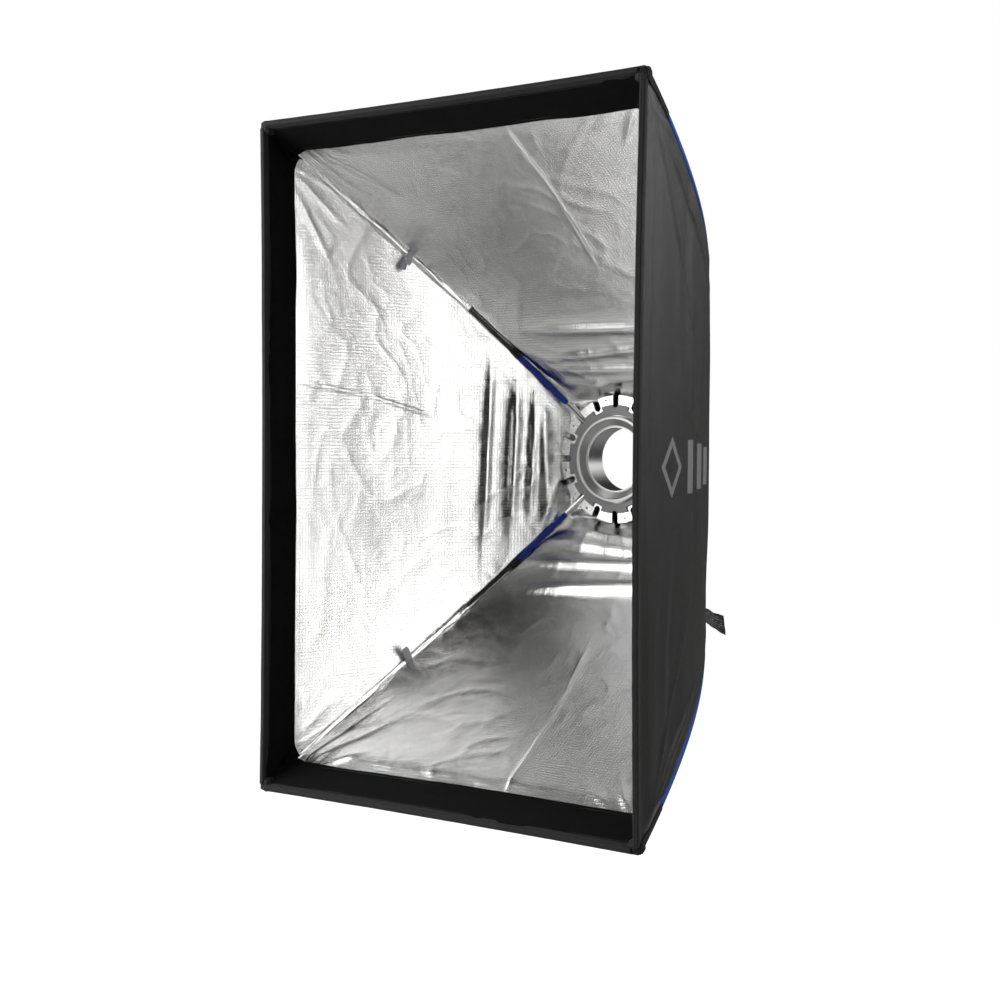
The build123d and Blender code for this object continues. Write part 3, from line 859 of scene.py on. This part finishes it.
def cap_points(centre, half, power, seed):
    """A soft rounded block as a subdivided cube: points and faces."""
    cuts = 12
    line = np.linspace(-1, 1, cuts + 1)
    points, faces = [], []
    for axis in range(3):
        for sign in (-1, 1):
            u, v = np.meshgrid(line, line, indexing="ij")
            flat = [None, None, None]
            flat[axis], flat[(axis + 1) % 3], flat[(axis + 2) % 3] = sign + 0 * u, u, v
            grid = grid_faces(cuts + 1, cuts + 1)
            faces.append((grid if sign > 0 else grid[:, ::-1]) + len(points) * (cuts + 1) ** 2)
            points.append(np.stack(flat, -1).reshape(-1, 3))
    cube = np.concatenate(points)
    round_cube = cube / (np.abs(cube) ** power).sum(1, keepdims=True) ** (1 / power)
    dents = creases(cube[:, 0] * 1.6 + cube[:, 1] + 5, cube[:, 2] * 1.6 - cube[:, 1] + 5, seed)
    swell = 1 - 0.10 * dents - 0.05 * noise(cube[:, 0] * 3 + 9, cube[:, 2] * 3 + cube[:, 1] * 2, seed + 1)
    return np.asarray(centre) + round_cube * swell[:, None] * np.asarray(half), np.concatenate(faces)


# Cap over a rod's tip: its centre's distance inside the corner and behind the front, half sizes, roundness.
CAP_INSET, CAP_DEPTH, CAP_HALF, CAP_POWER = 7.5 * MM, 9.0 * MM, (9.6 * MM, 9.8 * MM, 9.6 * MM), 2.8


def make_corner_pocket(corner, seed):
    """Black webbing folded over one front corner: a strip up the seam and a soft cap on the rod's tip."""
    side, end = CORNERS[corner]
    share = np.linspace(0.885, 0.995, 60)
    reach = (8.5 + 3.0 * smooth(0.94, 0.99, share)) * MM
    strip, uv = folded_over(corner, share, reach, reach, 1.9 * MM, seed)
    centre = (side * (HALF_WIDTH - CAP_INSET), FRONT_Y + CAP_DEPTH, end * (HALF_HEIGHT - CAP_INSET))
    cap, faces = cap_points(centre, CAP_HALF, CAP_POWER, seed)
    count = strip.shape[0] * strip.shape[1]
    points = np.concatenate([strip.reshape(-1, 3), cap])
    faces = np.concatenate([grid_faces(*strip.shape[:2]), faces + count])
    uv = np.concatenate([uv.reshape(-1, 2), cap[:, [0, 2]]])
    piece = make_mesh(f"corner_cap_{corner}", points, faces, BLACK_TAPE, uv)
    piece.modifiers.new("weld", "WELD").merge_threshold = 0.02 * MM
    thicken(piece, 0.8 * MM, -1.0)
    attach(piece, "black_webbing", f"corner_pocket_{corner}")


for number, corner in enumerate(CORNERS):
    make_seam_tape(corner, 1100 + 50 * number)
    make_corner_pocket(corner, 1300 + 50 * number)


# ---- Cloth on the rods ----
def rod_frames(corner, span, rows):
    """Points along one rod, its direction, the way to the corner seam, the way across, and the gap."""
    side, end = CORNERS[corner]
    mirror = np.array([side, 1, end])
    share = by_length(ROD, np.linspace(*span, rows))
    centre, along = bezier(ROD, share) * mirror, unit(bezier_slope(ROD, share) * mirror)
    seam = bezier(SEAM, np.linspace(0, 1, 1201)) * mirror
    nearest = seam[np.linalg.norm(seam[None] - centre[:, None], axis=2).argmin(1)]
    gap = np.linalg.norm(nearest - centre, axis=1)
    out = unit(nearest - centre)
    out = unit(out - along * (out * along).sum(1, keepdims=True))
    return centre, along, out, unit(np.cross(along, out)), gap


def tunnel(corner, span, seed, rows, radius, reach, rough, columns=56):
    """Cloth sewn round a rod: a loose tube with a fin that reaches back to the corner seam."""
    centre, along, out, across, gap = rod_frames(corner, span, rows)
    u = np.linspace(-1, 1, columns, endpoint=False) + 1 / columns
    turn = (np.pi * np.sign(u) * np.abs(u) ** 1.7)[None, :]
    length = np.linspace(0, span[1] - span[0], rows)[:, None] * ROD_LENGTH
    ridges = 0.10 * np.sin(4 * turn + 2.2 * noise(length * 22, 0 * turn, seed))
    ridges = ridges + 0.11 * noise(length * 45, turn * 1.6 + 10, seed + 1)
    ridges = ridges + 0.10 * creases(length * 110, turn * 1.2 + 10, seed + 2)
    size = radius * (1 + rough * ridges)
    fin = (np.minimum(gap, reach) - radius)[:, None].clip(0)
    fin = fin * (1 + 0.06 * noise(length * 30, 0 * turn + 3, seed + 3))
    size = size + fin * np.exp(-((np.abs(turn) / 0.17) ** 1.6))
    points = sweep_points(centre, out, across, pair(size * np.cos(turn), size * np.sin(turn)))
    return points, pair(turn * radius, length)


def make_rod_cloth(corner, seed):
    """Blue sleeve near the speedring and silver channel towards the front."""
    points, uv = tunnel(corner, SLEEVE_SPAN, seed, 120, radius=3.7 * MM, reach=7 * MM, rough=0.45)
    piece = grid_piece(f"navy_sleeve_{corner}", points, SLEEVE, uv, 0.4 * MM, -1.0, ring=True)
    attach(piece, "navy_cloth", f"rod_sleeve_{corner}")
    points, uv = tunnel(corner, CHANNEL_SPAN, seed + 20, 420, radius=4.5 * MM, reach=11 * MM, rough=1.0)
    piece = grid_piece(f"silver_channel_{corner}", points, CHANNEL, uv, 0.3 * MM, -1.0, ring=True)
    attach(piece, "silver_lining", f"rod_channel_{corner}")


STRAP_TAPER = 4 * MM  # length over which a strap's end is rounded


def strap(name, path, width, along, centre, out, across):
    """A flat strap that follows a plane path, given in (out, across), with rounded ends."""
    path = rounded(path, 3)
    length = run_along(path)
    left = ((length[-1] - length) / STRAP_TAPER).clip(0, 1)
    half = width / 2 * np.sqrt(1 - (1 - left) ** 2 * 0.75)
    sides = np.linspace(-1, 1, 9)
    cup = 0.5 * MM * sides**2
    slope = unit(np.gradient(path, axis=0))
    normal = np.stack([-slope[:, 1], slope[:, 0]], -1)
    plane = path[:, None, :] + normal[:, None, :] * cup[None, :, None]
    points = centre + plane[..., 0:1] * out + plane[..., 1:2] * across
    aside = sides[None, :] * half[:, None]
    points = points + along * aside[..., None]
    return grid_piece(name, points, GREY_TAPE, pair(aside, length[:, None]), 1.1 * MM)


WRAP, TAB_WIDTH = 5.6 * MM, 11.5 * MM  # radius of the tab's turn round the rod, and its width


def tab_path(heading, spin, spread, reach, gap):
    """One end of a tab: from the seam, round the rod and off it. The other end goes round the other way."""
    leave = heading - spin * math.pi / 2
    arc = [leave - spin * a for a in (2.2, 1.7, 1.2, 0.7, 0.25)]
    path = [(gap - 1.5 * MM, 0.0)] + [(WRAP * math.cos(a), WRAP * math.sin(a)) for a in arc]
    start = WRAP * np.array([math.cos(leave), math.sin(leave)])
    for step in (0.1, 0.35, 0.6, 0.8, 1.0):
        way = heading - spin * spread * min(1.0, 1.6 * step) * 0.5 + spin * 0.25 * step**2
        start = start + reach * 0.22 * np.array([math.cos(way), math.sin(way)])
        path.append(tuple(start))
    return path


def make_tie_tab(corner):
    """Two ends of a webbing tab that goes round the rod and is sewn into the corner seam."""
    side, end = CORNERS[corner]
    span = (TAB_PLACE - 0.01, TAB_PLACE + 0.01)
    centre, along, out, across, gap = (part[1] for part in rod_frames(corner, span, 3))
    hang = Vector((-0.30 * side, 0, -1)) if end > 0 else Vector((-0.15 * side, -0.75, 0.62))
    heading = math.atan2(np.dot(hang, across), np.dot(hang, out))
    front = tab_path(heading, 1, 0.0, 25 * MM, gap)
    back = tab_path(heading, -1, 0.42 if end > 0 else 1.9, 21 * MM, gap)
    axes = (along, centre, out, across)
    front = strap(f"tie_tab_front_{corner}", front, TAB_WIDTH, *axes)
    back = strap(f"tie_tab_back_{corner}", back, TAB_WIDTH * 0.8, *axes)
    attach(front, "grey_webbing", f"tie_tab_{corner}")
    attach(back, "grey_webbing")


for number, corner in enumerate(CORNERS):
    make_rod_cloth(corner, 1500 + 50 * number)
    make_tie_tab(corner)


# ---- Sewn-in label ----
def label_cloth():
    """Black satin label with plain woven bars in place of any wording."""
    t = Tree("label_cloth")
    uv, across, along = t.cloth_axes()
    satin = t.threads(across, along, 0.5 * MM)
    rows = t.lines(t.maths("ADD", across, 1.1 * MM), 4.4 * MM, 0.75 * MM)
    rows = t.maths("GREATER_THAN", rows, 0.15)
    in_x = t.maths("LESS_THAN", t.maths("ABSOLUTE", across), 11 * MM)
    in_y = t.maths("MULTIPLY", t.maths("GREATER_THAN", along, 12 * MM), t.maths("LESS_THAN", along, 33 * MM))
    column = t.maths("SNAP", across, 4.4 * MM)
    cell = t.node("CombineXYZ", {0: column, 1: along}).outputs[0]
    gaps = t.maths("GREATER_THAN", t.noise(cell, 330, 0), 0.43)
    bars = t.maths("MULTIPLY", t.maths("MULTIPLY", rows, gaps), t.maths("MULTIPLY", in_x, in_y))
    return t.finish(
        Base_Color=t.blend(bars, (0.010, 0.010, 0.011), (0.20, 0.20, 0.21)),
        Roughness=t.blend(satin, 0.42, 0.6),
        Sheen_Weight=0.4,
        Normal=t.bump(t.maths("MULTIPLY_ADD", bars, 0.8, satin), 0.00012, 0.7),
    )


LABEL_PLACE, LABEL_LENGTH, LABEL_HALF = 0.265, 36 * MM, 16 * MM  # place is a share of the seam


def make_label():
    """Curled satin label sewn into the lower right seam."""
    share = np.array([LABEL_PLACE])
    seam, _, _ = corner_normals("bottom_right", share)
    run = unit(bezier_slope(SEAM, share) * np.array([1, 1, -1]))[0]
    out = unit(np.array([0.80, 0.45, -0.40]))
    face = unit(np.cross(out, run))
    length, half = LABEL_LENGTH, LABEL_HALF
    u, v = np.linspace(0, 1, 60)[:, None], np.linspace(-1, 1, 40)[None, :]
    curl = 3.4 * MM * np.sin(2.6 * u - 0.4) + 2.6 * MM * u**2 * v + 0.9 * MM * noise(u * 5, v * 2 + 4, 31)
    points = (
        seam[0]
        + out * (u * length + 1.0 * MM)[..., None]
        + run * (v * half * (1 - 0.05 * np.sin(3 * u)))[..., None]
        + face * curl[..., None]
    )
    piece = grid_piece("sewn_label", points, label_cloth(), pair(v * half, u * length), 0.5 * MM)
    attach(piece, "label_cloth", "care_label")


make_label()


# ---- Rear flaps ----
FLAP_TURN = {"right": 0, "top": 90, "left": 180, "bottom": 270}


FLAP_ARC = 71.6 * MM  # radius of the arc that the flaps leave open round the insert


def turned(name, out, y, across):
    """Points of a flap's cloth, turned from +X to the flap's own side."""
    turn = math.radians(FLAP_TURN[name])
    x = out * math.cos(turn) - across * math.sin(turn)
    z = out * math.sin(turn) + across * math.cos(turn)
    return np.stack(np.broadcast_arrays(x, y, z), -1)


def make_flap(name, seed, rows=46, columns=120):
    """Cloth flap behind the speedring, with a rolled hem round its arc and stitching along both edges."""
    low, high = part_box(f"rear_flap_{name}")
    edge, arc = REAR_HALF - 1.9 * MM, FLAP_ARC
    u, v = np.linspace(0, 1, rows)[:, None], np.linspace(-1, 1, columns)[None, :]
    angle = np.arctan(v * 0.985)
    outer = edge / np.cos(angle)
    radius = outer + (arc - outer) * u
    out, across = radius * np.cos(angle), radius * np.sin(angle)
    hem = np.exp(-(((1 - u) * (outer - arc) - 2.2 * MM) / (1.8 * MM)) ** 2)
    ripple = 0.35 * MM * noise(across * 60, out * 40, seed) * np.sin(np.pi * u.clip(0, 1))
    points = turned(name, out, (low.y + high.y) / 2 + (0.45 * MM * hem + ripple), across)
    piece = grid_piece(f"flap_cloth_{name}", points, FACE, pair(across, out), 0.7 * MM)
    attach(piece, "black_cloth", f"rear_flap_{name}", body=f"flap_{name}")
    back = np.array([0.0, 1.0, 0.0])
    rows_at = [int(rows * 0.80), 2]
    lines = [(points[row] + back * 0.5 * MM, np.tile(back, (columns, 1))) for row in rows_at]
    attach(stitches(f"flap_stitching_{name}", lines, BLACK_THREAD), "black_cloth", body=f"flap_{name}")


# The strip in section, in mm: (out from the rear edge of the panel, back from it), panel end first.
HINGE_SECTION = [(4.7, -3.7), (2.4, -1.5), (0.6, 0.8), (-0.6, 2.1), (-4.0, 2.3), (-8.0, 2.3)]


def make_flap_strip(name, columns=80):
    """Cloth strip sewn to the panel's rear edge and to the flap, with a fixed bend in its section where the
    flap folds.
    """
    section = rounded(HINGE_SECTION, 2) * MM
    out, y = REAR_HALF + section[:, 0:1], REAR_Y + section[:, 1:2]
    across = np.linspace(-1, 1, columns)[None, :] * (np.minimum(out, REAR_HALF - 1 * MM) - 1.2 * MM)
    points = turned(name, out, y, across)
    piece = grid_piece(f"flap_strip_{name}", points, FACE, pair(across, out), 0.5 * MM)
    way = Vector(turned(name, 1.0, 0.0, 0.0).tolist())
    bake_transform(piece)


for number, face in enumerate(FACES):
    make_flap(face, 1700 + 50 * number)
    make_flap_strip(face)


# ---- Rows of stitching on the front bands ----
# Rows of thread: depth behind the front plane, inset from the face, and 1 outside or -1 inside the shell.
THREAD_ROWS = [(BAND_DEPTH - 4 * MM, 6.6 * MM, -1), (10.5 * MM, 5.9 * MM, -1), (8.0 * MM, -1.35 * MM, 1)]


def band_stitching(name, count=500):
    """Two rows of thread on one band and one row outside, through the binding."""
    across = np.linspace(-0.95, 0.95, count)
    lines = []
    for depth, inset, side in THREAD_ROWS:
        points, normals = face_points(name, share_at_depth(np.full(count, depth)), across, inset)
        lines.append((points, normals * side))
    attach(stitches(f"band_stitching_{name}", lines, BLACK_THREAD), "hook_and_loop")


for face in FACES:
    band_stitching(face)


# ---- Finishes of the metal and plastic parts ----
def refinish(material, *names):
    """Give CAD nodes a finish."""
    for name in names:
        node = NODES[name]
        if not node.material_slots:
            node.data.materials.append(material)
        for slot in node.material_slots:
            slot.material = material


refinish(turned_metal("machined_aluminium", (0.84, 0.84, 0.835), (0.93, 0.93, 0.925), 0.20), "speedring")
COVER = turned_metal("blasted_grey_cover", (0.23, 0.23, 0.23), (0.29, 0.29, 0.29), 0.46, 0.5, 0.75)
refinish(COVER, "ring_cover")
refinish(turned_metal("turned_collar", (0.40, 0.40, 0.395), (0.52, 0.52, 0.515), 0.30), "front_collar")
refinish(turned_metal("turned_insert", (0.55, 0.55, 0.545), (0.68, 0.68, 0.675), 0.28), "mount_insert")
refinish(turned_metal("spring_steel", (0.35, 0.34, 0.33), (0.48, 0.47, 0.46), 0.30), "wave_washer")
ROD_COATING = bar_metal("black_rod_coating", (0.004, 0.004, 0.005), (0.012, 0.012, 0.013), 0.40, 0.0, 0.12)
FERRULE = bar_metal("plated_ferrule", (0.84, 0.83, 0.81), (0.93, 0.92, 0.91), 0.22)
CAP_PLASTIC = bar_metal("black_tip_plastic", (0.010, 0.010, 0.011), (0.022, 0.022, 0.023), 0.45, 0.0)
for corner in CORNERS:
    refinish(ROD_COATING, f"rod_{corner}")
    refinish(FERRULE, f"rod_ferrule_{corner}")
    refinish(CAP_PLASTIC, f"rod_tip_cap_{corner}")


# ---- Stage, light and camera ----
# Lamps: azimuth from the front towards +X and elevation in degrees, size in metres, power in watts.
LAMPS = {
    "left_side": (-60, 12, (1.3, 2.0), 60),
    "front_left": (-32, 18, (1.6, 2.6), 50),
    "right_side": (78, 25, (1.3, 1.9), 30),
    "behind_right": (142, 24, (1.0, 1.8), 16),
}
LAMP_DISTANCE, FLOOR_HALF, FLOOR_Z = 2.8, 30.0, -1.35
AMBIENT = 0.02  # strength of the background for everything but the camera


def make_lamp(name, azimuth, elevation, size, power):
    """A soft rectangular lamp that points at the middle of the box."""
    turn, lift = math.radians(azimuth), math.radians(elevation)
    way = Vector((math.sin(turn) * math.cos(lift), -math.cos(turn) * math.cos(lift), math.sin(lift)))
    data = bpy.data.lights.new(name, "AREA")
    data.shape, data.energy = "RECTANGLE", power
    data.size, data.size_y = size
    lamp = bpy.data.objects.new(name, data)
    middle = Vector((0, (FRONT_Y + REAR_Y) / 2, 0))
    place = middle + way * LAMP_DISTANCE
    rotation = (middle - place).to_track_quat("-Z", "Y").to_matrix().to_4x4()
    lamp.matrix_world = Matrix.Translation(place) @ rotation
    bpy.context.scene.collection.objects.link(lamp)


def make_world():
    """White background that only the camera sees as bright."""
    world = bpy.data.worlds.new("studio")
    bpy.context.scene.world = world
    world.use_nodes = True
    tree = world.node_tree
    background = tree.nodes["Background"]
    path = tree.nodes.new("ShaderNodeLightPath")
    strength = tree.nodes.new("ShaderNodeMapRange")
    tree.links.new(path.outputs["Is Camera Ray"], strength.inputs[0])
    strength.inputs[3].default_value = AMBIENT
    strength.inputs[4].default_value = 1.0
    tree.links.new(strength.outputs[0], background.inputs["Strength"])
    background.inputs["Color"].default_value = (1, 1, 1, 1)


def make_floor():
    """Large pale floor, which glows only for the camera."""
    t = Tree("pale_floor")
    grain = t.noise(t.place(), 2.5, 4)
    seen = t.node("LightPath").outputs["Is Camera Ray"]
    t.finish(
        Base_Color=t.blend(grain, (0.78, 0.78, 0.78), (0.82, 0.82, 0.82)),
        Roughness=0.9,
        Emission_Color=(1.0, 1.0, 1.0),
        Emission_Strength=t.blend(seen, 0.0, 1.0),
    )
    points = [(x * FLOOR_HALF, y * FLOOR_HALF, FLOOR_Z) for x, y in ((-1, -1), (1, -1), (1, 1), (-1, 1))]
    floor = make_mesh("floor", points, [(0, 1, 2, 3)], t.material, smooth_shaded=False)


def make_camera():
    """Camera at the reference viewing angle, slightly above the box's axis and to its right."""
    pitch, turn, tilt = math.radians(2.5), math.radians(35.2), math.radians(-0.6)
    offset = Vector((-0.081, 2.03, -0.040))
    to_camera = Matrix.Rotation(pitch, 3, "X")
    view = to_camera @ Matrix.Rotation(-turn, 3, "Z") @ Matrix.Rotation(tilt, 3, "X")
    location = -(view.transposed() @ (to_camera @ offset)) + Vector((0, FRONT_Y, 0))
    right, forward, up = view[0], view[1], view[2]
    data = bpy.data.cameras.new("camera")
    data.sensor_width = 36
    data.lens = 58.9
    data.clip_end = 100
    camera = bpy.data.objects.new("camera", data)
    basis = Matrix((right, up, -forward)).transposed().to_4x4()
    camera.matrix_world = Matrix.Translation(location) @ basis
    bpy.context.scene.collection.objects.link(camera)
    bpy.context.scene.camera = camera


make_world()
make_floor()
for name, lamp in LAMPS.items():
    make_lamp(name, *lamp)
make_camera()
bpy.context.scene.view_settings.view_transform = "Standard"
